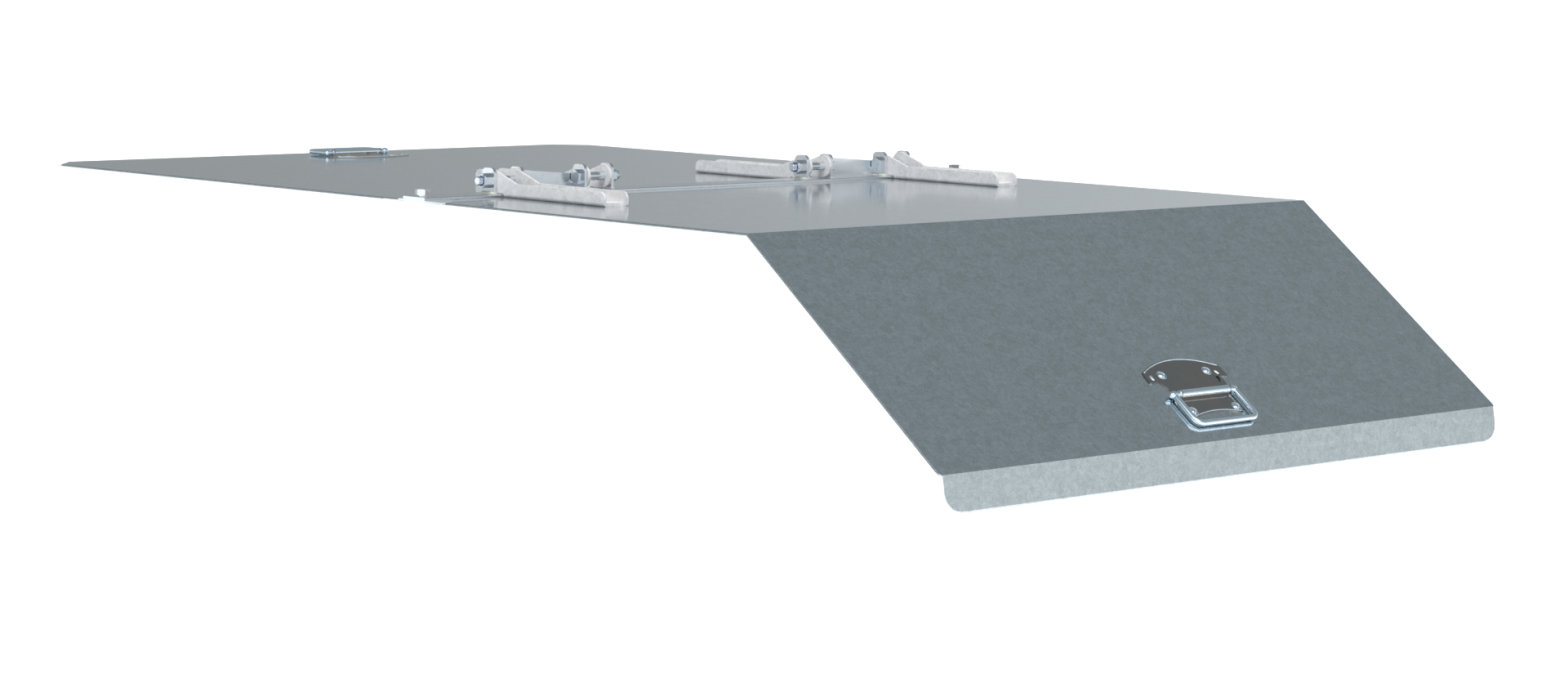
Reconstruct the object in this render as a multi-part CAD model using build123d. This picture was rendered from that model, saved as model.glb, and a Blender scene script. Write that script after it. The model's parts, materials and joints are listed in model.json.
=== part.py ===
from build123d import *
import math
import os

# Two-leaf folding sheet-steel lid for a truck-borne box.
# Frame: origin at the middle of the underside of the fixed cross strip,
# +X across the lid, +Y towards the rear leaf, +Z up. Millimetres.

# ---------------------------------------------------------------- sizes
LID_W = 1070.0            # overall width of the lid
SHEET_T = 1.5             # sheet thickness
HEM_H = 4.0               # height of a closed hem (two sheets and the bend)
HEM_IN = 16.0             # width of the folded-under flap
TOP_Z = HEM_H             # top face of both leaves

STRIP_W = 50.0            # cross strip, flat bar 50 x 8
STRIP_T = 8.0
EDGE_GAP = 2.0            # gap between strip and leaf edges

FOLD_Y = -693.0           # fold between front flat panel and slope
SLOPE_L = 434.0           # length of the sloping panel
SLOPE_A = 37.1            # slope below horizontal, degrees
FLANGE_L = 47.5           # front flange
FLANGE_A = 80.0           # flange below horizontal, degrees
REAR_Y = 979.0            # rear edge of the rear leaf
REAR_CH_X, REAR_CH_Y = 46.0, 52.0     # cut corners at the rear edge
CUT_X, CUT_Y = 60.0, 46.0             # cut corners of the front leaf beside the strip
RCUT_X, RCUT_Y = 14.0, 9.0            # small cut corners of the rear leaf

PIV_Z = 26.0              # height of the hinge axis
OUTER_X = 378.5           # centre of the outer knuckles (front leaf straps)
INNER_X = 215.5           # centre of the inner knuckles (rear leaf straps)
LUG_T = 5.0               # fixed lug thickness
LUG_R = 13.5              # half width of an upright lug
LUG_IN = 22.0             # half distance between the lugs of one knuckle
LUG_TOP = 44.0            # top of the lugs above the strip underside
LUG_CORNER = 8.0          # rounding of the lug's upper corners

STRAP_HALF = 21.6         # half width of a strap channel
STRAP_T = 4.0
STRAP_H = 19.7  # wall height above the sheet
STRAP_L = 250.0  # from the hinge axis to the nose
STRAP_NOSE = 10.0  # nose radius
EAR_R = 16.4              # strap ear radius
EAR_SLOPE = 19.0  # ramp from ear to wall, degrees
WEB_Y0 = 29.0             # channel web starts this far from the axis

BOLT_R = 6.0              # M12 pivot bolt
HOLE_R = 6.06             # running fit of the ears on the bolt
HEAD_AF, HEAD_H = 18.0, 7.5
NUT_AF, NUT_H = 18.0, 10.0
RING_R, RING_H = 7.6, 2.4
TAIL = 7.0  # thread standing out of the nut

FIX_X = 519.0             # fixing bolts at the two ends of the strip
FIX_R = 6.0               # M12
FIX_AF, FIX_H = 19.0, 8.0
FIX_PROUD = 2.5           # the head stands this far above the strip

RIVET_R = 4.0
STRAP_RIVETS = (60.0, 140.0, 220.0)

HANDLE_V = 353.0          # handle pivot, distance down the slope from the fold
HANDLE_Y = 887.0          # handle pivot on the rear leaf
PLATE_T = 1.5
WIRE_R = 4.0
PIN_Z = 5.6               # bail axis above the panel
BAIL_HALF = 57.5          # half distance between the arms' centre lines
BAIL_L = 53.5             # axis to the centre line of the grip bar
TUN_HALF = 47.5           # half length of the tunnel that holds the bail ends
TUN_CLEAR = 0.06

os.makedirs("parts", exist_ok=True)


def save(shape, name):
    export_step(shape, "parts/%s.step" % name)


def group(*solids):
    flat = []
    for s in solids:
        flat += list(s.solids())
    return Compound(children=flat)


def box(x0, x1, y0, y1, z0, z1):
    return Pos((x0 + x1) / 2, (y0 + y1) / 2, (z0 + z1) / 2) * Box(x1 - x0, y1 - y0, z1 - z0)


def prism_x(points, x0, x1):
    """Polygon in the YZ plane, extruded from x0 to x1."""
    face = make_face(Polyline(*[(0, p[0], p[1]) for p in points], close=True).edges())
    solid = extrude(face, amount=x1 - x0, dir=(1, 0, 0))
    return Pos(x0, 0, 0) * solid


def prism_z(points, z0, z1):
    face = make_face(Polyline(*[(p[0], p[1], 0) for p in points], close=True).edges())
    return Pos(0, 0, z0) * extrude(face, amount=z1 - z0, dir=(0, 0, 1))


def rod_x(r, x0, x1, y, z):
    return Pos((x0 + x1) / 2, y, z) * Rot(0, 90, 0) * Cylinder(r, x1 - x0)


def hex_x(af, x0, x1, y, z, flat_end=1):
    """Hexagonal head or nut along X, its outer end chamfered."""
    n = extrude(RegularPolygon(af / 2, 6, major_radius=False), amount=x1 - x0)
    cone = Cone(af / 2 * 1.155 + (x1 - x0) * 1.73 - 0.9, af / 2 * 1.155 - 0.9, x1 - x0,
                align=(Align.CENTER, Align.CENTER, Align.MIN))
    n = n & cone
    if flat_end > 0:
        return Pos(x0, y, z) * Rot(0, 90, 0) * n
    return Pos(x1, y, z) * Rot(0, -90, 0) * n


def mirror_x(s):
    return mirror(s, about=Plane.YZ)


# ------------------------------------------------ folded sheet helper
def offset_path(pts, d):
    """Open polyline shifted by d to its inner (lower) side with mitred corners."""
    out = []
    n = len(pts)
    for i, p in enumerate(pts):
        dirs = []
        if i > 0:
            dirs.append((p[0] - pts[i - 1][0], p[1] - pts[i - 1][1]))
        if i < n - 1:
            dirs.append((pts[i + 1][0] - p[0], pts[i + 1][1] - p[1]))
        nrm = []
        for a in dirs:
            length = math.hypot(*a)
            nrm.append((-a[1] / length, a[0] / length))
        if len(nrm) == 1:
            q = (p[0] + nrm[0][0] * d, p[1] + nrm[0][1] * d)
        else:
            mx, my = nrm[0][0] + nrm[1][0], nrm[0][1] + nrm[1][1]
            k = d * 2 / (mx * mx + my * my)
            q = (p[0] + mx * k, p[1] + my * k)
        out.append(q)
    return out


def band(pts, d0, d1, x0, x1):
    a = offset_path(pts, d0)
    b = offset_path(pts, d1)
    return prism_x(a + b[::-1], x0, x1)


def part_way(p, q, dist):
    length = math.hypot(q[0] - p[0], q[1] - p[1])
    k = dist / length
    return (p[0] + (q[0] - p[0]) * k, p[1] + (q[1] - p[1]) * k)


def side_hem(pts, w, sign):
    """Closed hem along a path: the rounded outer edge and the flap folded under."""
    nose = band(pts, 0, HEM_H, w - 2.6, w)
    outer = [e for e in nose.edges() if abs(e.center().X - w) < 1e-4 and e.length > 20]
    nose = fillet(outer, 1.9)
    flap = band(pts, HEM_H - SHEET_T, HEM_H, w - HEM_IN, w - 2.6 + 0.01)
    s = nose + flap
    return s if sign > 0 else mirror_x(s)


sa, fa = math.radians(SLOPE_A), math.radians(FLANGE_A)
edge_y = STRIP_W / 2 + EDGE_GAP
P0 = (-edge_y, TOP_Z)
P1 = (FOLD_Y, TOP_Z)
P2 = (P1[0] - SLOPE_L * math.cos(sa), P1[1] - SLOPE_L * math.sin(sa))
P3 = (P2[0] - FLANGE_L * math.cos(fa), P2[1] - FLANGE_L * math.sin(fa))
W2 = LID_W / 2

# ------------------------------------------------ front leaf sheet
# flat panel, sloping panel and flange are one folded sheet
panel = band([P0, P1, P2], 0, SHEET_T, -(W2 - 2.6), W2 - 2.6)
flange_end = part_way(P2, P3, FLANGE_L - 2.6)
flange = band([part_way(P2, P1, 6.0), P2, flange_end], 0, SHEET_T, -(W2 - 4.5), W2 - 4.5)
FR = 24.0
hem_half = W2 - 4.5 - FR
# bottom hem of the flange, folded inwards
fl_a = part_way(P2, P3, FLANGE_L - 2.6)
fl_b = part_way(P2, P3, FLANGE_L - HEM_IN)
fhem_nose = band([fl_a, P3], 0, HEM_H, -hem_half, hem_half)
low = [e for e in fhem_nose.edges() if e.length > 900 and
       abs(math.hypot(e.center().Y - P2[0], e.center().Z - P2[1]) - FLANGE_L) < 2.0
       and math.hypot(e.center().Y - P2[0], e.center().Z - P2[1]) > FLANGE_L - 1.0]
fhem_nose = fillet(low, 1.9)
fhem_flap = band([fl_b, part_way(P2, P3, FLANGE_L - 2.59)], HEM_H - SHEET_T, HEM_H, -hem_half, hem_half)
# rounded lower corners of the flange: cut with a prism along the flange normal
corner_tool = []
for sgn in (-1, 1):
    pts2 = [(sgn * (W2 - 4.5) , FLANGE_L - 2.6 - FR)]
    for k in range(1, 13):
        a = math.radians(90 * k / 12.0)
        pts2.append((sgn * (W2 - 4.5 - FR + FR * math.cos(a)), FLANGE_L - 2.6 - FR + FR * math.sin(a)))
    pts2 += [(sgn * (W2 - 4.5 - FR), FLANGE_L + 5), (sgn * (W2 + 5), FLANGE_L + 5), (sgn * (W2 + 5), FLANGE_L - 2.6 - FR)]
    # local x = X, local y = distance down the flange, extruded through the sheet
    plane = Plane(origin=(0, P2[0], P2[1]), x_dir=(1, 0, 0),
                  z_dir=(0, -math.sin(fa), math.cos(fa)))
    loc_pts = [plane.from_local_coords((p[0], -p[1], 0)) for p in pts2]
    face = make_face(Polyline(*[tuple(v) for v in loc_pts], close=True).edges())
    n = plane.z_dir
    tool = extrude(face, amount=6, dir=(n.X, n.Y, n.Z)) + extrude(face, amount=6, dir=(-n.X, -n.Y, -n.Z))
    corner_tool.append(tool)
flange = flange - corner_tool[0] - corner_tool[1]

hem_path = [P0, P1, part_way(P2, P1, 3.0)]
front_sheet = panel + flange + fhem_nose + fhem_flap
for sgn in (-1, 1):
    front_sheet += side_hem(hem_path, W2, sgn)
# cut corners beside the strip
for sgn in (-1, 1):
    tri = prism_z([(sgn * (W2 + 1), -edge_y + 1), (sgn * (W2 - CUT_X), -edge_y + 1), (sgn * (W2 - CUT_X), -edge_y),
                   (sgn * W2, -edge_y - CUT_Y), (sgn * (W2 + 1), -edge_y - CUT_Y)], -1, TOP_Z + 1)
    front_sheet -= tri

# ------------------------------------------------ rear leaf sheet
R0 = (REAR_Y, TOP_Z)
R1 = (edge_y, TOP_Z)
rear_panel = band([R0, R1], 0, SHEET_T, -(W2 - 2.6), W2 - 2.6)
rear_sheet = rear_panel
for sgn in (-1, 1):
    rear_sheet += side_hem([R0, R1], W2, sgn)
# rear edge hem, folded under like the sides
rear_sheet += box(-(W2 - REAR_CH_X), W2 - REAR_CH_X, REAR_Y - 14.0, REAR_Y - 2.0, 0, SHEET_T)
rear_sheet += box(-(W2 - REAR_CH_X), W2 - REAR_CH_X, REAR_Y - 2.6, REAR_Y, 0, TOP_Z)
for sgn in (-1, 1):
    tri = prism_z([(sgn * (W2 - REAR_CH_X), REAR_Y + 1), (sgn * (W2 - REAR_CH_X), REAR_Y),
                   (sgn * W2, REAR_Y - REAR_CH_Y), (sgn * (W2 + 1), REAR_Y - REAR_CH_Y), (sgn * (W2 + 1), REAR_Y + 1)],
                  -1, TOP_Z + 1)
    rear_sheet -= tri
    tri = prism_z([(sgn * (W2 - RCUT_X), edge_y - 1), (sgn * (W2 - RCUT_X), edge_y),
                   (sgn * W2, edge_y + RCUT_Y), (sgn * (W2 + 1), edge_y + RCUT_Y), (sgn * (W2 + 1), edge_y - 1)],
                  -1, TOP_Z + 1)
    rear_sheet -= tri


# ------------------------------------------------ hinge straps
def ear_profile():
    """Side profile of a strap wall; the strap runs towards -Y from the axis."""
    t = math.radians(EAR_SLOPE)
    c = (0.0, PIV_Z)
    pts = []
    # over the ear, from straight below, round the back, to the ramp's tangent point
    a0, a1 = -90.0, 90.0 + EAR_SLOPE
    for k in range(0, 41):
        a = math.radians(a0 + (a1 - a0) * k / 40.0)
        pts.append((c[0] + EAR_R * math.cos(a), c[1] + EAR_R * math.sin(a)))
    top = TOP_Z + STRAP_H
    y_r = -(PIV_Z + EAR_R / math.cos(t) - top) / math.tan(t)
    pts.append((y_r, top))
    # nose
    for k in range(0, 13):
        a = math.radians(90 + 90 * k / 12.0)
        pts.append((-STRAP_L + STRAP_NOSE + STRAP_NOSE * math.cos(a), top - STRAP_NOSE + STRAP_NOSE * math.sin(a)))
    pts.append((-STRAP_L, TOP_Z + 1.2))
    pts.append((-STRAP_L + 1.2, TOP_Z))
    pts.append((-(edge_y + 1.5), TOP_Z))
    pts.append((-(edge_y + 1.5), PIV_Z - EAR_R))
    return pts


def strap(xc):
    wall = ear_profile()
    s = prism_x(wall, -STRAP_HALF, -STRAP_HALF + STRAP_T)
    s += prism_x(wall, STRAP_HALF - STRAP_T, STRAP_HALF)
    s += box(-STRAP_HALF, STRAP_HALF, -STRAP_L + 9.0, -(edge_y + 1.5), TOP_Z, TOP_Z + STRAP_T)
    s -= rod_x(HOLE_R, -STRAP_HALF - 1, STRAP_HALF + 1, 0, PIV_Z)
    for y in STRAP_RIVETS:
        s -= Pos(0, -y, TOP_Z + STRAP_T / 2) * Cylinder(RIVET_R, STRAP_T + 2)
    # rounded outer lower corners of the bent channel
    low_e = [e for e in s.edges() if abs(e.center().Z - TOP_Z) < 1e-4 and e.length > 150
             and abs(abs(e.center().X) - STRAP_HALF) < 1e-4]
    s = fillet(low_e, 4.6)
    return Pos(xc, 0, 0) * s


def rear_strap(xc):
    return Pos(xc, 0, 0) * Rot(0, 0, 180) * strap(0)


front_straps = [strap(-OUTER_X), strap(OUTER_X)]
rear_straps = [rear_strap(-INNER_X), rear_strap(INNER_X)]


def strap_rivet(x, y):
    """Round-head rivet through the strap web and the sheet."""
    s = Pos(x, y, (TOP_Z - SHEET_T + TOP_Z + STRAP_T) / 2) * Cylinder(RIVET_R, SHEET_T + STRAP_T)
    head = Sphere(9.0) & box(-9, 9, -9, 9, 5.2, 10)
    s += Pos(x, y, TOP_Z + STRAP_T - 5.2) * head
    s += Pos(x, y, TOP_Z - SHEET_T - 0.55) * Cylinder(7.0, 1.1)
    return s


f_rivets, r_rivets = [], []
for sgn in (-1, 1):
    for y in STRAP_RIVETS:
        f_rivets.append(strap_rivet(sgn * OUTER_X, -y))
        r_rivets.append(strap_rivet(sgn * INNER_X, y))
for sgn in (-1, 1):
    for y in STRAP_RIVETS:
        front_sheet -= Pos(sgn * OUTER_X, -y, TOP_Z - 1) * Cylinder(RIVET_R, 6)
        rear_sheet -= Pos(sgn * INNER_X, y, TOP_Z - 1) * Cylinder(RIVET_R, 6)

# ------------------------------------------------ fixed strip, lugs and pivots
strip = box(-W2 + 1.0, W2 - 1.0, -STRIP_W / 2, STRIP_W / 2, 0, STRIP_T)
strip = fillet([e for e in strip.edges() if abs(e.center().Z - STRIP_T) < 1e-4 and e.length > 900], 1.2)
for sgn in (-1, 1):
    strip -= Pos(sgn * FIX_X, 0, STRIP_T / 2) * Cylinder(FIX_R + 0.05, STRIP_T + 2)

gussets = []
for sgn in (-1, 1):
    g = 2.0
    gussets.append(prism_z([(sgn * (W2 - 1.0), -STRIP_W / 2), (sgn * (W2 - 1.0), -edge_y - CUT_Y + 2.6 * g),
                            (sgn * (W2 - CUT_X + 1.9 * g), -edge_y - 0.6 * g + 2.0), (sgn * (W2 - CUT_X + 1.9 * g), -STRIP_W / 2)],
                           0, 3.6))


def lug(x0, x1):
    """Upright flat-bar lug standing on the strip, its upper corners rounded."""
    c = LUG_CORNER
    pts = [(-LUG_R, STRIP_T), (LUG_R, STRIP_T)]
    for cy, a0 in ((LUG_R - c, 0), (-LUG_R + c, 90)):
        for k in range(0, 13):
            a = math.radians(a0 + 90 * k / 12.0)
            pts.append((cy + c * math.cos(a), LUG_TOP - c + c * math.sin(a)))
    s = prism_x(pts, x0, x1)
    s -= rod_x(HOLE_R, x0 - 1, x1 + 1, 0, PIV_Z)
    return s


def lug_pair(xc):
    return [lug(xc - LUG_IN - LUG_T, xc - LUG_IN), lug(xc + LUG_IN, xc + LUG_IN + LUG_T)]


bolts, nuts, rings = [], [], []
for xc, nut_left in ((-OUTER_X, True), (-INNER_X, False), (INNER_X, True), (OUTER_X, False)):
    d = 1 if nut_left else -1
    face = LUG_IN + LUG_T
    # built with the nut on the left, mirrored where the bolt is the other way round
    b = rod_x(BOLT_R, -(face + NUT_H + RING_H + TAIL), face + 0.01, 0, PIV_Z)
    end = [e for e in b.edges() if abs(e.center().X + (face + NUT_H + RING_H + TAIL)) < 1e-4]
    b = chamfer(end, 1.0)
    b += hex_x(HEAD_AF, face, face + HEAD_H, 0, PIV_Z, 1)
    n = hex_x(NUT_AF, -(face + NUT_H), -face, 0, PIV_Z, -1)
    n -= rod_x(BOLT_R, -80, 80, 0, PIV_Z)
    collar = rod_x(RING_R + 1.0, -(face + NUT_H + RING_H), -(face + NUT_H) + 0.01, 0, PIV_Z)
    collar -= rod_x(RING_R, -80, 80, 0, PIV_Z)
    n += collar
    r = rod_x(RING_R, -(face + NUT_H + RING_H - 0.4), -(face + NUT_H), 0, PIV_Z)
    r -= rod_x(BOLT_R, -80, 80, 0, PIV_Z)
    parts = [b, n, r]
    if not nut_left:
        parts = [mirror_x(p) for p in parts]
    parts = [Pos(xc, 0, 0) * p for p in parts]
    bolts.append(parts[0])
    nuts.append(parts[1])
    rings.append(parts[2])

# a web plate stands behind the bolts between the two knuckles of each hinge, its
# top edge sloping down towards +X
def web(x0, x1):
    face = make_face(Polyline((x0, 0, STRIP_T), (x1, 0, STRIP_T), (x1, 0, 30.0), (x0, 0, 39.0), close=True).edges())
    return Pos(0, LUG_R, 0) * extrude(face, amount=3.5, dir=(0, -1, 0))


web_gap = LUG_IN + LUG_T
left_web = web(-OUTER_X + web_gap, -INNER_X - web_gap)
right_web = web(INNER_X + web_gap, OUTER_X - web_gap)

fix_bolts = []
for sgn in (-1, 1):
    b = Pos(0, 0, (STRIP_T + FIX_PROUD) / 2) * Cylinder(FIX_R, STRIP_T + FIX_PROUD)
    b = chamfer([e for e in b.edges() if abs(e.center().Z) < 1e-4], 0.8)
    hx = extrude(RegularPolygon(FIX_AF / 2, 6, major_radius=False), amount=FIX_H)
    cone = Cone(FIX_AF / 2 * 1.155 + FIX_H * 1.73 - 0.9, FIX_AF / 2 * 1.155 - 0.9, FIX_H,
                align=(Align.CENTER, Align.CENTER, Align.MIN))
    b += Pos(0, 0, STRIP_T + FIX_PROUD) * Rot(0, 0, 12) * (hx & cone)
    fix_bolts.append(Pos(sgn * FIX_X, 0, 0) * b)


# ------------------------------------------------ drop handles
# local frame: x across, y away from the grip bar, z out of the panel, origin on
# the panel under the bail axis
def handle_plate():
    pts = []
    # convex top edge through three points
    x1, y1, apex = 72.0, 49.0, 67.0
    sag = apex - y1
    rad = (x1 * x1 + sag * sag) / (2 * sag)
    cy = apex - rad
    a1 = math.atan2(y1 - cy, x1)
    for k in range(0, 25):
        a = a1 + (math.pi - 2 * a1) * k / 24.0
        pts.append((rad * math.cos(a), cy + rad * math.sin(a)))
    left = [(-74.0, 41.0), (-74.5, 29.0), (-72.0, 27.0), (-63.0, 28.5), (-56.5, 28.0), (-54.5, 22.0), (-50.0, 16.0),
            (-50.0, 8.0), (-50.0, -8.0), (-50.0, -12.0), (-50.0, -34.0), (-46.5, -38.5)]
    pts += left
    # concave lower edge
    for k in range(1, 16):
        x = -46.5 + 93.0 * k / 16.0
        pts.append((x, -38.5 + 7.0 * (1 - ((x / 46.5) ** 2))))
    pts += [(-p[0], p[1]) for p in left[::-1]]
    plate = prism_z(pts, 0, PLATE_T)
    r_out = WIRE_R + TUN_CLEAR + PLATE_T
    tun = Pos(0, 0, PIN_Z) * Rot(0, 90, 0) * Cylinder(r_out, 2 * TUN_HALF)
    tun += box(-TUN_HALF, TUN_HALF, -r_out, r_out, 0, PIN_Z)
    plate += tun
    plate -= Pos(0, 0, PIN_Z) * Rot(0, 90, 0) * Cylinder(WIRE_R + TUN_CLEAR, 2 * TUN_HALF + 2)
    for p in RIVET_XY:
        plate -= Pos(p[0], p[1], 1) * Cylinder(2.4, 6)
    return plate


RIVET_XY = [(-43.4, 40.0), (43.4, 40.0), (-41.5, -27.5), (41.5, -27.5)]


def handle_rivet(p):
    r = Pos(p[0], p[1], (PLATE_T - SHEET_T) / 2) * Cylinder(2.4, PLATE_T + SHEET_T)
    head = Sphere(6.5) & box(-7, 7, -7, 7, 4.0, 7)
    r += Pos(p[0], p[1], PLATE_T - 4.0) * head
    r += Pos(p[0], p[1], -SHEET_T - 0.6) * Cylinder(4.2, 1.2)
    return r


def bail():
    """Rectangular bail of round wire; its two ends turn inwards into the tunnel."""
    c = 11.0
    path = FilletPolyline((-TUN_HALF + 26, 0, PIN_Z), (-BAIL_HALF, 0, PIN_Z), (-BAIL_HALF, -BAIL_L, PIN_Z),
                          (BAIL_HALF, -BAIL_L, PIN_Z), (BAIL_HALF, 0, PIN_Z), (TUN_HALF - 26, 0, PIN_Z),
                          radius=[6.0, c, c, 6.0])
    prof = Plane(origin=path @ 0, z_dir=path % 0) * Circle(WIRE_R)
    return sweep(prof, path=path)


slope_dir = (0, -math.cos(sa), -math.sin(sa))
hp = (0, P1[0] + HANDLE_V * slope_dir[1], P1[1] + HANDLE_V * slope_dir[2])
front_loc = Pos(*hp) * Rot(SLOPE_A, 0, 0)
rear_loc = Pos(0, HANDLE_Y, TOP_Z) * Rot(0, 0, 180)

plate0 = handle_plate()
bail0 = bail()
rivets0 = [handle_rivet(p) for p in RIVET_XY]
holes = [Pos(p[0], p[1], 0) * Cylinder(2.4, 8) for p in RIVET_XY]
for h in holes:
    front_sheet -= front_loc * h
    rear_sheet -= rear_loc * h

# ------------------------------------------------ write the pieces
nodes = {
    "cross_strip": strip,
    "corner_gussets": group(*gussets),
    "left_hinge_lugs": group(*(lug_pair(-OUTER_X) + lug_pair(-INNER_X))),
    "right_hinge_lugs": group(*(lug_pair(INNER_X) + lug_pair(OUTER_X))),
    "left_hinge_web": left_web,
    "right_hinge_web": right_web,
    "pivot_bolts": group(*bolts),
    "pivot_lock_nuts": group(*nuts),
    "nut_nylon_rings": group(*rings),
    "fixing_bolts": group(*fix_bolts),
    "front_sheet": front_sheet,
    "front_left_strap": front_straps[0],
    "front_right_strap": front_straps[1],
    "front_strap_rivets": group(*f_rivets),
    "front_handle_plate": front_loc * plate0,
    "front_handle_rivets": group(*[front_loc * r for r in rivets0]),
    "front_bail": front_loc * bail0,
    "rear_sheet": rear_sheet,
    "rear_left_strap": rear_straps[0],
    "rear_right_strap": rear_straps[1],
    "rear_strap_rivets": group(*r_rivets),
    "rear_handle_plate": rear_loc * plate0,
    "rear_handle_rivets": group(*[rear_loc * r for r in rivets0]),
    "rear_bail": rear_loc * bail0,
}
for name, shape in nodes.items():
    save(shape, name)
    print(name, len(shape.solids()), round(shape.volume, 1))
print("front handle axis", hp, "P2", P2, "P3", P3)
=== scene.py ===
import json
import math
import random

import bmesh
import bpy
from mathutils import Matrix, Vector


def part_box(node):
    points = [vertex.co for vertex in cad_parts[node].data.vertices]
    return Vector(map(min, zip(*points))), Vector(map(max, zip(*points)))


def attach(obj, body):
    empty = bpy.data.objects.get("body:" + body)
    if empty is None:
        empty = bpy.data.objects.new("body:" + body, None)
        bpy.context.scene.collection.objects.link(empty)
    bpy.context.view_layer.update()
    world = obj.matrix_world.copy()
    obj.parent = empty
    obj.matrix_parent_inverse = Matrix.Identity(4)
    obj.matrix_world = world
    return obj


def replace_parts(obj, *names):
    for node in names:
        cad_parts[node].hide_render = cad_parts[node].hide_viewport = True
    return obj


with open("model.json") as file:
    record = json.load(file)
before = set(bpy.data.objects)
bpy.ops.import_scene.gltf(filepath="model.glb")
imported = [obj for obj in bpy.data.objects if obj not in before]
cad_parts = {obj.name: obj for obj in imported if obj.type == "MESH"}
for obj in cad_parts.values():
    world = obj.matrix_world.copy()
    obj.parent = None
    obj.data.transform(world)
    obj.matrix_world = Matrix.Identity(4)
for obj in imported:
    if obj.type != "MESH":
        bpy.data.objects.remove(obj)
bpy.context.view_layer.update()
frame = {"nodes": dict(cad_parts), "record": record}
NODES = frame["nodes"]
scene = bpy.context.scene
scene.view_settings.view_transform = "Standard"
scene.view_settings.look = "None"
random.seed(7)


# ------------------------------------------------------------------ camera
cam_data = bpy.data.cameras.new("camera")
cam_data.sensor_width = 36.0
cam_data.lens = 82.666
cam_data.clip_start = 0.05
cam_data.clip_end = 900.0
cam = bpy.data.objects.new("camera", cam_data)
scene.collection.objects.link(cam)
right = Vector((0.741293, -0.671075, 0.011911))
up = Vector((0.064660, 0.089067, 0.993925))
back = Vector((-0.668059, -0.736020, 0.109417))
m = Matrix((right, up, back)).transposed().to_4x4()
m.translation = Vector((-3.48473, -4.01381, 0.35911))
cam.matrix_world = m
scene.camera = cam


# ------------------------------------------------------------------ nodes
class Tree:
    """Small helper for writing node trees."""

    def __init__(self, tree):
        self.t = tree
        self.n = tree.nodes
        for x in list(self.n):
            self.n.remove(x)

    def add(self, kind, **kw):
        node = self.n.new(kind)
        for k, v in kw.items():
            if k == "inputs":
                for name, val in v.items():
                    if isinstance(val, tuple) and len(val) == 2 and hasattr(val[0], "outputs"):
                        self.t.links.new(val[0].outputs[val[1]], node.inputs[name])
                    elif hasattr(val, "is_output"):
                        self.t.links.new(val, node.inputs[name])
                    else:
                        node.inputs[name].default_value = val
            else:
                setattr(node, k, v)
        return node

    def math(self, op, a, b=None, clamp=False):
        node = self.n.new("ShaderNodeMath")
        node.operation = op
        node.use_clamp = clamp
        for i, v in enumerate((a, b)):
            if v is None:
                continue
            if hasattr(v, "is_output"):
                self.t.links.new(v, node.inputs[i])
            else:
                node.inputs[i].default_value = v
        return node.outputs[0]

    def ramp(self, fac, stops, interp="LINEAR"):
        node = self.n.new("ShaderNodeValToRGB")
        node.color_ramp.interpolation = interp
        el = node.color_ramp.elements
        while len(el) > 1:
            el.remove(el[-1])
        first = True
        for pos, val in stops:
            c = val if isinstance(val, (tuple, list)) else (val, val, val)
            if first:
                e = el[0]
                e.position = pos
                first = False
            else:
                e = el.new(pos)
            e.color = (c[0], c[1], c[2], 1)
        self.t.links.new(fac, node.inputs[0])
        return node.outputs[0]

    def mix(self, fac, a, b, kind="MIX"):
        node = self.n.new("ShaderNodeMix")
        node.data_type = "RGBA"
        node.blend_type = kind
        for idx, v in ((0, fac), (6, a), (7, b)):
            if hasattr(v, "is_output"):
                self.t.links.new(v, node.inputs[idx])
            else:
                node.inputs[idx].default_value = v if idx == 0 else (*v, 1) if len(v) == 3 else v
        return node.outputs[2]


def rng(tree, fac, lo, hi, a=0.0, b=1.0):
    node = tree.n.new("ShaderNodeMapRange")
    tree.t.links.new(fac, node.inputs[0])
    node.inputs[1].default_value = a
    node.inputs[2].default_value = b
    node.inputs[3].default_value = lo
    node.inputs[4].default_value = hi
    return node.outputs[0]


def noise(tree, vec, scale, detail=2.0, rough=0.5, stretch=None, distortion=0.0):
    if stretch:
        mp = tree.add("ShaderNodeMapping", inputs={"Vector": vec, "Scale": stretch})
        vec = mp.outputs[0]
    n = tree.add("ShaderNodeTexNoise", inputs={"Vector": vec, "Scale": scale, "Detail": detail,
                                               "Roughness": rough, "Distortion": distortion})
    return n.outputs[0]


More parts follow.
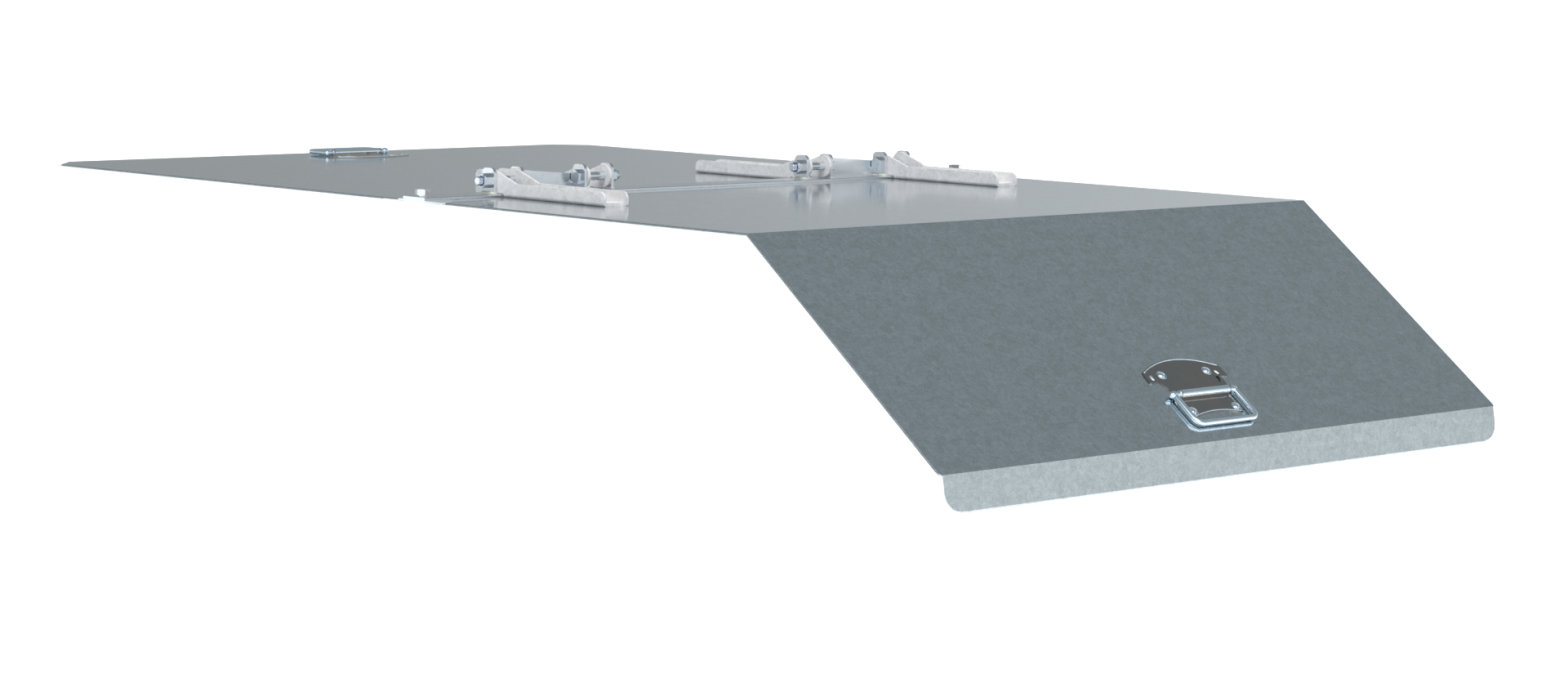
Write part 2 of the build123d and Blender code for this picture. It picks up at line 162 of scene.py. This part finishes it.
def galvanised(name, base, rough, spangle=85.0, contrast=0.05, grain=0.10, waves=0.0, streak=0.05,
               scratch=0.25, smut=0.25, bump=0.25, rough_var=0.10, metal=1.0):
    """Zinc-coated sheet: crystals, fine grain, rolling streaks, faint scratches and handling smudges."""
    mat = bpy.data.materials.new(name)
    mat.use_nodes = True
    t = Tree(mat.node_tree)
    out = t.add("ShaderNodeOutputMaterial")
    bsdf = t.add("ShaderNodeBsdfPrincipled")
    t.t.links.new(bsdf.outputs[0], out.inputs[0])
    bsdf.inputs["Metallic"].default_value = metal
    co = t.add("ShaderNodeTexCoord").outputs["Object"]
    vor = t.add("ShaderNodeTexVoronoi", inputs={"Vector": co, "Scale": spangle, "Randomness": 1.0})
    cell = t.add("ShaderNodeSeparateColor", inputs={"Color": vor.outputs["Color"]})
    crystal = cell.outputs[0]
    fine = noise(t, co, 620.0, 3.0, 0.6)
    mid = noise(t, co, 160.0, 2.0, 0.55)
    streaks = noise(t, co, 1.0, 3.0, 0.6, stretch=(6.0, 120.0, 120.0))
    cloud = noise(t, co, 3.2, 4.0, 0.6)
    # scratches: thin bright hairlines in two directions
    sc1 = t.ramp(noise(t, co, 1.0, 2.0, 0.5, stretch=(420.0, 5.0, 9.0), distortion=0.4), [(0.0, 0.0), (0.70, 0.0), (0.76, 1.0), (0.80, 0.0)])
    mask = t.ramp(noise(t, co, 7.0, 2.0, 0.5), [(0.0, 0.0), (0.52, 0.0), (0.66, 1.0)])
    scr = t.math("MULTIPLY", sc1, mask)
    # value
    v = t.math("MULTIPLY", t.math("SUBTRACT", crystal, 0.5), contrast * 2)
    v = t.math("ADD", v, t.math("MULTIPLY", t.math("SUBTRACT", fine, 0.5), grain * 2))
    v = t.math("ADD", v, t.math("MULTIPLY", t.math("SUBTRACT", mid, 0.5), grain))
    v = t.math("ADD", v, t.math("MULTIPLY", t.math("SUBTRACT", streaks, 0.5), streak * 2))
    v = t.math("ADD", v, t.math("MULTIPLY", t.math("SUBTRACT", cloud, 0.5), smut * 0.35))
    v = t.math("ADD", v, t.math("MULTIPLY", scr, scratch * 0.35))
    v = t.math("ADD", v, 1.0)
    col = t.add("ShaderNodeMix", data_type="RGBA", blend_type="MULTIPLY")
    col.inputs[0].default_value = 1.0
    col.inputs[6].default_value = (*base, 1)
    comb = t.add("ShaderNodeCombineColor", inputs={"Red": v, "Green": v, "Blue": v})
    t.t.links.new(comb.outputs[0], col.inputs[7])
    t.t.links.new(col.outputs[2], bsdf.inputs["Base Color"])
    # roughness
    r = t.math("MULTIPLY", t.math("SUBTRACT", fine, 0.5), rough_var * 2)
    r = t.math("ADD", r, t.math("MULTIPLY", t.math("SUBTRACT", crystal, 0.5), rough_var * 0.8))
    r = t.math("ADD", r, t.math("MULTIPLY", t.math("SUBTRACT", cloud, 0.5), smut * 0.5))
    r = t.math("ADD", r, t.math("MULTIPLY", scr, 0.12))
    r = t.math("ADD", r, rough)
    r = t.math("MAXIMUM", r, 0.05)
    t.t.links.new(r, bsdf.inputs["Roughness"])
    # bump
    b1 = t.add("ShaderNodeBump", inputs={"Height": fine, "Strength": bump, "Distance": 0.00012})
    b2 = t.add("ShaderNodeBump", inputs={"Height": streaks, "Strength": bump, "Distance": 0.00010, "Normal": b1.outputs[0]})
    last = b2
    if waves:
        w = noise(t, co, 2.6, 1.5, 0.4)
        b3 = t.add("ShaderNodeBump", inputs={"Height": w, "Strength": 1.0, "Distance": waves, "Normal": b2.outputs[0]})
        last = b3
    t.t.links.new(last.outputs[0], bsdf.inputs["Normal"])
    return mat


def plated(name, base, rough, bump=0.15):
    """Bright zinc plating: slightly mottled, bluish, with small dull marks."""
    mat = bpy.data.materials.new(name)
    mat.use_nodes = True
    t = Tree(mat.node_tree)
    out = t.add("ShaderNodeOutputMaterial")
    bsdf = t.add("ShaderNodeBsdfPrincipled")
    t.t.links.new(bsdf.outputs[0], out.inputs[0])
    bsdf.inputs["Metallic"].default_value = 1.0
    co = t.add("ShaderNodeTexCoord").outputs["Object"]
    mot = noise(t, co, 140.0, 3.0, 0.6)
    cloud = noise(t, co, 30.0, 3.0, 0.6)
    fine = noise(t, co, 1500.0, 2.0, 0.6)
    tint = t.mix(rng(t, cloud, 0.0, 1.0, 0.35, 0.65), base, (base[0] * 0.90, base[1] * 0.97, min(1, base[2] * 1.04)))
    dull = t.ramp(mot, [(0.0, 0.86), (0.42, 1.0), (1.0, 1.04)])
    col = t.mix(1.0, tint, dull, "MULTIPLY")
    t.t.links.new(col, bsdf.inputs["Base Color"])
    r = t.math("ADD", rng(t, mot, -0.05, 0.08, 0.3, 0.7), rng(t, fine, -0.03, 0.03, 0.3, 0.7))
    r = t.math("ADD", r, rough)
    r = t.math("MAXIMUM", r, 0.04)
    t.t.links.new(r, bsdf.inputs["Roughness"])
    b = t.add("ShaderNodeBump", inputs={"Height": mot, "Strength": bump, "Distance": 0.0002})
    t.t.links.new(b.outputs[0], bsdf.inputs["Normal"])
    return mat


def nylon(name, base):
    mat = bpy.data.materials.new(name)
    mat.use_nodes = True
    t = Tree(mat.node_tree)
    out = t.add("ShaderNodeOutputMaterial")
    bsdf = t.add("ShaderNodeBsdfPrincipled")
    t.t.links.new(bsdf.outputs[0], out.inputs[0])
    co = t.add("ShaderNodeTexCoord").outputs["Object"]
    n1 = noise(t, co, 300.0, 2.0)
    col = t.mix(rng(t, n1, 0.0, 1.0, 0.3, 0.7), base, tuple(c * 1.25 for c in base))
    t.t.links.new(col, bsdf.inputs["Base Color"])
    t.t.links.new(rng(t, n1, 0.38, 0.5, 0.3, 0.7), bsdf.inputs["Roughness"])
    b = t.add("ShaderNodeBump", inputs={"Height": n1, "Strength": 0.2, "Distance": 0.0001})
    t.t.links.new(b.outputs[0], bsdf.inputs["Normal"])
    return mat


M_SHEET = galvanised("galvanised_sheet", (0.60, 0.645, 0.665), 0.10, waves=0.00008, contrast=0.05, grain=0.42, streak=0.05,
                     smut=0.05, bump=0.05, rough_var=0.03)
M_STRAP = galvanised("galvanised_strap", (0.84, 0.82, 0.82), 0.50, spangle=60.0, contrast=0.06, grain=0.30,
                     streak=0.06, scratch=0.3, smut=0.55, bump=0.5, rough_var=0.12, metal=0.45)
M_BAR = galvanised("galvanised_bar", (0.74, 0.76, 0.79), 0.22, spangle=120.0, contrast=0.02, grain=0.05, smut=0.06, bump=0.1,
                   rough_var=0.04)
M_WELD = galvanised("weld_bead", (0.80, 0.79, 0.70), 0.36, spangle=300.0, contrast=0.05, grain=0.14, smut=0.3, bump=0.6, metal=0.7)
M_ZINC = plated("zinc_plated_steel", (0.74, 0.76, 0.77), 0.16)
M_HANDLE = plated("bright_zinc_handle", (0.84, 0.91, 0.96), 0.08)
# painted reflection: the handle plates' dark warm base colour paints in the dark reflection they show; their record
# slot is bright zinc
M_PLATE_PAINTED_REFLECTION = plated("pressed_zinc_plate_painted_dark_reflection", (0.36, 0.32, 0.29), 0.07)
# painted shade: near-black colour that paints the shaded gap inside the hem folds
M_SEAM_PAINTED_SHADE = galvanised("folded_seam_painted_shade", (0.13, 0.13, 0.13), 0.55, bump=0.4, metal=0.8)
M_NYLON = nylon("blue_nylon", (0.055, 0.065, 0.30))

SLOT_MAT = {"galvanised_sheet": M_SHEET, "galvanised_strap": M_STRAP, "galvanised_bar": M_BAR,
            "zinc_plated_steel": M_ZINC, "bright_zinc_handle": M_HANDLE, "blue_nylon": M_NYLON}
for sp in frame["record"]["subparts"]:
    o = NODES[sp["node"]]
    mat = SLOT_MAT[sp["material_slot"]]
    if not o.material_slots:
        o.data.materials.append(mat)
    # handle plates take the painted dark reflection colour instead of their slot's bright zinc
    if sp["node"].endswith("_handle_plate"):
        mat = M_PLATE_PAINTED_REFLECTION
    for s in o.material_slots:
        s.material = mat

# soft edges on the parts that come from the CAD; the front sheet and the bails get none
BEVEL = {"front_sheet": 0.0, "rear_sheet": 0.0004, "cross_strip": 0.0006, "front_bail": 0.0, "rear_bail": 0.0,
         "front_left_strap": 0.0008, "front_right_strap": 0.0008, "rear_left_strap": 0.0008, "rear_right_strap": 0.0008}
for name, o in NODES.items():
    w = BEVEL.get(name, 0.0004)
    if w:
        b = o.modifiers.new("edge", "BEVEL")
        b.width = w
        b.segments = 2
        b.limit_method = "ANGLE"
        b.angle_limit = math.radians(30)
        b.harden_normals = False


# ------------------------------------------------------------------ detail pieces
def mesh_piece(name, bm, body, mat, smooth=True):
    me = bpy.data.meshes.new(name)
    bmesh.ops.recalc_face_normals(bm, faces=bm.faces)
    bm.to_mesh(me)
    bm.free()
    for poly in me.polygons:
        poly.use_smooth = smooth
    me.materials.append(mat)
    o = bpy.data.objects.new(name, me)
    scene.collection.objects.link(o)
    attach(o, body)
    return o


def tube_into(bm, pts, radii, seg=10, closed_ends=True):
    """Adds a tube through pts; radii holds one number per point."""
    rings = []
    n = len(pts)
    ref = Vector((0, 0, 1))
    for i, p in enumerate(pts):
        p = Vector(p)
        d = (Vector(pts[min(i + 1, n - 1)]) - Vector(pts[max(i - 1, 0)])).normalized()
        r0 = ref if abs(d.dot(ref)) < 0.9 else Vector((0, 1, 0))
        u = d.cross(r0).normalized()
        v = u.cross(d).normalized()
        rr = radii[i]
        ring = []
        for k in range(seg):
            a = 2 * math.pi * k / seg
            ring.append(bm.verts.new(p + u * (rr * math.cos(a)) + v * (rr * math.sin(a))))
        rings.append(ring)
    for a, b in zip(rings, rings[1:]):
        for k in range(seg):
            bm.faces.new((a[k], a[(k + 1) % seg], b[(k + 1) % seg], b[k]))
    if closed_ends:
        bm.faces.new(rings[0][::-1])
        bm.faces.new(rings[-1])


def blob_into(bm, centre, radii, mat4=None, u=20, v=12):
    made = bmesh.ops.create_uvsphere(bm, u_segments=u, v_segments=v, radius=1.0)["verts"]
    m = Matrix.Translation(Vector(centre)) @ Matrix.Diagonal((*radii, 1.0))
    if mat4 is not None:
        m = mat4 @ m
    bmesh.ops.transform(bm, matrix=m, verts=made)


def mm(*v):
    return tuple(c / 1000.0 for c in v)


# weld beads along the feet of the lugs, rippled and slightly uneven
wr = random.Random(11)
STRIP_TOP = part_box("cross_strip")[1][2] * 1000.0
for side, knuckles in (("left", (-378.5, -215.5)), ("right", (215.5, 378.5))):
    bm = bmesh.new()
    for xc in knuckles:
        for sgn in (-1, 1):
            x = xc + sgn * 27.6
            pts, rad = [], []
            for i in range(27):
                y = -13.6 + 27.2 * i / 26.0
                pts.append(mm(x + wr.uniform(-0.2, 0.2), y, STRIP_TOP + 0.4 + wr.uniform(-0.15, 0.15)))
                fade = min(1.0, 0.55 + 0.2 * min(i, 26 - i))
                rad.append((2.5 + 0.45 * math.sin(i * 2.1) + wr.uniform(-0.2, 0.2)) * fade / 1000.0)
            tube_into(bm, pts, rad, seg=12)
            # the bead turns round the front and rear edges of the lug
            for e in (-1, 1):
                pts = [mm(xc + sgn * (22.8 + 0.7 * i), e * 13.9, STRIP_TOP + 0.4) for i in range(7)]
                rad = [(1.5 + 0.25 * math.sin(i * 2.4)) / 1000.0 for i in range(7)]
                tube_into(bm, pts, rad, seg=10)
    mesh_piece(side + "_hinge_welds", bm, "centre", M_WELD)
    # tack beads behind the web plate
    sx = -1 if side == "left" else 1
    bm = bmesh.new()
    for x0, x1 in ((254, 272), (288, 306), (322, 340)):
        n = 14
        pts = [mm(sx * (x0 + (x1 - x0) * i / n), 14.0, STRIP_TOP + 0.3) for i in range(n + 1)]
        rad = [(1.7 + 0.35 * math.sin(i * 2.2) + wr.uniform(-0.1, 0.1)) / 1000.0 for i in range(n + 1)]
        tube_into(bm, pts, rad, seg=10)
    mesh_piece(side + "_web_tack_welds", bm, "centre", M_WELD)

# rolled threads on the free ends of the pivot bolts
bm = bmesh.new()
for xc, nut_left in ((-378.5, True), (-215.5, False), (215.5, True), (378.5, False)):
    d = -1 if nut_left else 1
    pts = []
    turns, pitch = 3.6, 1.75
    for i in range(int(turns * 28) + 1):
        a = 2 * math.pi * i / 28.0
        pts.append(mm(xc + d * (39.7 + pitch * i / 28.0), 5.95 * math.cos(a), 26.0 + 5.95 * math.sin(a)))
    tube_into(bm, pts, [0.00042] * len(pts), seg=6)
mesh_piece("pivot_bolt_threads", bm, "centre", M_ZINC)

# drop handles: pressed embosses, rolled rims, rivet seats and the wire's bends
JOINTS = {j["name"]: j for j in frame["record"]["behaviour"]["joints"]}
tilt = math.radians(37.1)
HANDLES = {"front": Matrix.Translation(Vector(JOINTS["front_bail_hinge"]["pos_m"])) @ Matrix.Rotation(tilt, 4, "X"),
           "rear": Matrix.Translation(Vector(JOINTS["rear_bail_hinge"]["pos_m"])) @ Matrix.Rotation(math.pi, 4, "Z")}
PL = -4.1      # top of the plate under the bail axis, mm
for name, M in HANDLES.items():
    def at(*v, M=M):
        return tuple(M @ Vector(mm(*v)))

    bm = bmesh.new()
    for (xa, ya), (xb, yb) in (((-64.5, 42.0), (-64.0, 32.0)), ((57.5, 39.5), (61.0, 32.0))):
        n = 12
        pts, rad = [], []
        for i in range(n + 1):
            f = i / n
            pts.append(at(xa + (xb - xa) * f, ya + (yb - ya) * f, PL - 0.9))
            rad.append(2.5 * math.sqrt(max(0.04, 1 - (2 * f - 1) ** 4)) / 1000.0)
        tube_into(bm, pts, rad, seg=14)
    mesh_piece(name + "_handle_embosses", bm, name + "_leaf", M_HANDLE)

    bm = bmesh.new()
    pts = []
    for i in range(33):
        x = -44.0 + 88.0 * i / 32.0
        pts.append(at(x, -38.5 + 7.0 * (1 - (x / 46.5) ** 2) + 1.5, PL + 0.05))
    tube_into(bm, pts, [0.00085] * len(pts), seg=10)
    # rim along the domed top
    rad0 = (72.0 ** 2 + 18.0 ** 2) / 36.0
    cy = 67.0 - rad0
    pts = []
    a1 = math.atan2(49.0 - cy, 72.0)
    for i in range(49):
        a = a1 + (math.pi - 2 * a1) * i / 48.0
        pts.append(at((rad0 - 1.6) * math.cos(a) * 0.985, cy + (rad0 - 1.6) * math.sin(a), PL + 0.05))
    tube_into(bm, pts, [0.0009] * len(pts), seg=10)
    mesh_piece(name + "_handle_rims", bm, name + "_leaf", M_HANDLE)

    # bright folded skin of the tunnel over the bail's ends
    bm = bmesh.new()
    n = 40
    pts = [at(-47.6 + 95.2 * i / n, 0, 0) for i in range(n + 1)]
    rad = [(5.62 - (0.35 if i in (0, n) else 0.0)) / 1000.0 for i in range(n + 1)]
    tube_into(bm, pts, rad, seg=40)
    mesh_piece(name + "_tunnel_skin", bm, name + "_leaf", M_HANDLE)

    # small ear of the pressing beside the right end of the tunnel
    if name == "front":
        bm = bmesh.new()
        outline = [(49.5, 9.0), (58.0, 10.0), (60.5, 14.0), (61.0, 24.0), (58.0, 29.0), (50.0, 29.0)]
        rings = []
        for z, inset in ((-5.58, 0.0), (-4.4, 0.0), (PL, 0.5)):
            cx, cy2 = 55.0, 19.0
            ring = []
            for px, py in outline:
                dx, dy = px - cx, py - cy2
                ll = math.hypot(dx, dy)
                ring.append(bm.verts.new(at(cx + dx * (1 - inset / ll), cy2 + dy * (1 - inset / ll), z)))
            rings.append(ring)
        for ra, rb in zip(rings, rings[1:]):
            for q in range(len(outline)):
                bm.faces.new((ra[q], ra[(q + 1) % len(outline)], rb[(q + 1) % len(outline)], rb[q]))
        bm.faces.new(rings[0][::-1])
        bm.faces.new(rings[-1])
        # the ear takes the same painted dark reflection colour as the handle plate
        mesh_piece("front_handle_right_ear", bm, "front_leaf", M_PLATE_PAINTED_REFLECTION, smooth=False)

    bm = bmesh.new()
    for rx, ry in ((-43.4, 40.0), (43.4, 40.0), (-41.5, -27.5), (41.5, -27.5)):
        pts = [at(rx + 6.7 * math.cos(2 * math.pi * i / 32), ry + 6.7 * math.sin(2 * math.pi * i / 32), PL) for i in range(33)]
        tube_into(bm, pts, [0.0006] * len(pts), seg=8, closed_ends=False)
    mesh_piece(name + "_rivet_seats", bm, name + "_leaf", M_HANDLE)

    # the bail itself: one smooth bent wire with its ends turned into the tunnel
    corners = [(-21.5, 0.0, 0), (-57.5, 0.0, 6.0), (-57.5, -53.5, 11.0), (57.5, -53.5, 11.0), (57.5, 0.0, 6.0), (21.5, 0.0, 0)]
    pts = [at(corners[0][0], corners[0][1], 0)]
    for i in range(1, 5):
        c = Vector(corners[i][:2])
        pa = (Vector(corners[i - 1][:2]) - c).normalized()
        pb = (Vector(corners[i + 1][:2]) - c).normalized()
        r = corners[i][2]
        o = c + (pa + pb) * r
        for k in range(11):
            q = math.pi / 2 * k / 10.0
            v = o - pb * (r * math.cos(q)) - pa * (r * math.sin(q))
            pts.append(at(v.x, v.y, 0))
    pts.append(at(corners[5][0], corners[5][1], 0))
    bm = bmesh.new()
    tube_into(bm, pts, [0.004] * len(pts), seg=32)
    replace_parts(mesh_piece(name + "_bail_wire", bm, name + "_bail", M_HANDLE), name + "_bail")

    bm = bmesh.new()
    blob_into(bm, mm(-58.0, 0, 0), mm(7.0, 5.2, 5.2), M)
    blob_into(bm, mm(57.6, 0, 0), mm(5.6, 4.9, 4.9), M)
    mesh_piece(name + "_bail_bends", bm, name + "_bail", M_HANDLE)


# the dark line between the folded layers along the leaves' sides: painted shade, a thin near-black tube in the shaded
# gap
sd = (math.cos(tilt), math.sin(tilt))
for side, sx in (("left", -1), ("right", 1)):
    X = sx * 534.9
    for leaf, path in (("front_leaf", [(-70, 1.8), (-692, 1.8), (-693 - 425 * sd[0], 1.8 - 425 * sd[1])]), ("rear_leaf", [(70, 1.8), (940, 1.8)])):
        bm = bmesh.new()
        pts = []
        for (ya, za), (yb, zb) in zip(path, path[1:]):
            n = 24
            pts += [mm(X, ya + (yb - ya) * i / n, za + (zb - za) * i / n) for i in range(n)]
        pts.append(mm(X, *path[-1]))
        tube_into(bm, pts, [0.00035] * len(pts), seg=6)
        mesh_piece(leaf + "_" + side + "_hem_seam_painted_shade", bm, leaf, M_SEAM_PAINTED_SHADE)

# ------------------------------------------------------------------ stage
floor_mesh = bpy.data.meshes.new("floor")
bm = bmesh.new()
s = 320.0
for x, y in ((-s, -s), (s, -s), (s, s), (-s, s)):
    bm.verts.new((x, y, 0))
bm.faces.new(bm.verts)
bm.to_mesh(floor_mesh)
bm.free()
floor = bpy.data.objects.new("floor", floor_mesh)
floor.location = (0, 0, -1.30)
scene.collection.objects.link(floor)
fm = bpy.data.materials.new("floor")
fm.use_nodes = True
p = fm.node_tree.nodes["Principled BSDF"]
p.inputs["Base Color"].default_value = (0.93, 0.93, 0.93, 1)
p.inputs["Roughness"].default_value = 0.9
p.inputs["Specular IOR Level"].default_value = 0.1
floor_mesh.materials.append(fm)

# world: a plain soft studio - dim ceiling, brighter walls
world = bpy.data.worlds.new("studio")
scene.world = world
world.use_nodes = True
w = Tree(world.node_tree)
wo = w.add("ShaderNodeOutputWorld")
bg = w.add("ShaderNodeBackground")
w.t.links.new(bg.outputs[0], wo.inputs[0])
gen = w.add("ShaderNodeTexCoord").outputs["Generated"]
sep = w.add("ShaderNodeSeparateXYZ", inputs={"Vector": gen})
az = w.math("ARCTAN2", sep.outputs[0], sep.outputs[1])          # 0 at +Y, 90 deg at +X
azn = rng(w, az, 0.0, 1.0, -math.pi, math.pi)


def a_pos(deg):
    return (deg + 180.0) / 360.0


# a plain soft room: the walls brighten smoothly round to the right and the front
wide = [(-180, 0.86), (-90, 0.80), (0, 0.40), (30, 0.34), (60, 0.62), (120, 0.76), (180, 0.86)]
low = w.ramp(azn, [(a_pos(a), (v * 0.94, v, v * 1.03)) for a, v in wide], "EASE")
elev = w.math("ARCSINE", sep.outputs[2])
elev_deg = w.math("MULTIPLY", elev, 180.0 / math.pi)
high = (0.28, 0.32, 0.34)
k = w.ramp(rng(w, elev, 0.0, 1.0, math.radians(8), math.radians(34)), [(0.0, 0.0), (1.0, 1.0)], "EASE")
mixc = w.mix(k, low, high)
# a broad soft box high behind the viewer's left shoulder
box_az = w.ramp(azn, [(0.0, 1.0), (a_pos(-100), 1.0), (a_pos(-82), 0.0), (a_pos(170), 0.0), (a_pos(176), 1.0)])
box_el = w.ramp(rng(w, elev_deg, 0.0, 1.0, 20.0, 70.0), [(0.0, 0.0), (0.14, 1.0), (0.72, 1.0), (0.86, 0.0)])
mixc = w.mix(w.math("MULTIPLY", box_az, box_el), mixc, (1.7, 1.78, 1.85))
w.t.links.new(mixc, bg.inputs[0])
bg.inputs[1].default_value = 1.0


def sun(name, direction, strength, angle, color=(1, 1, 1)):
    d = bpy.data.lights.new(name, "SUN")
    d.energy = strength
    d.angle = math.radians(angle)
    d.color = color
    o = bpy.data.objects.new(name, d)
    o.rotation_euler = Vector(direction).to_track_quat("-Z", "Y").to_euler()
    scene.collection.objects.link(o)
    return o


key = sun("key", (0.35, 0.25, -1.0), 3.4, 25)
key.visible_glossy = False
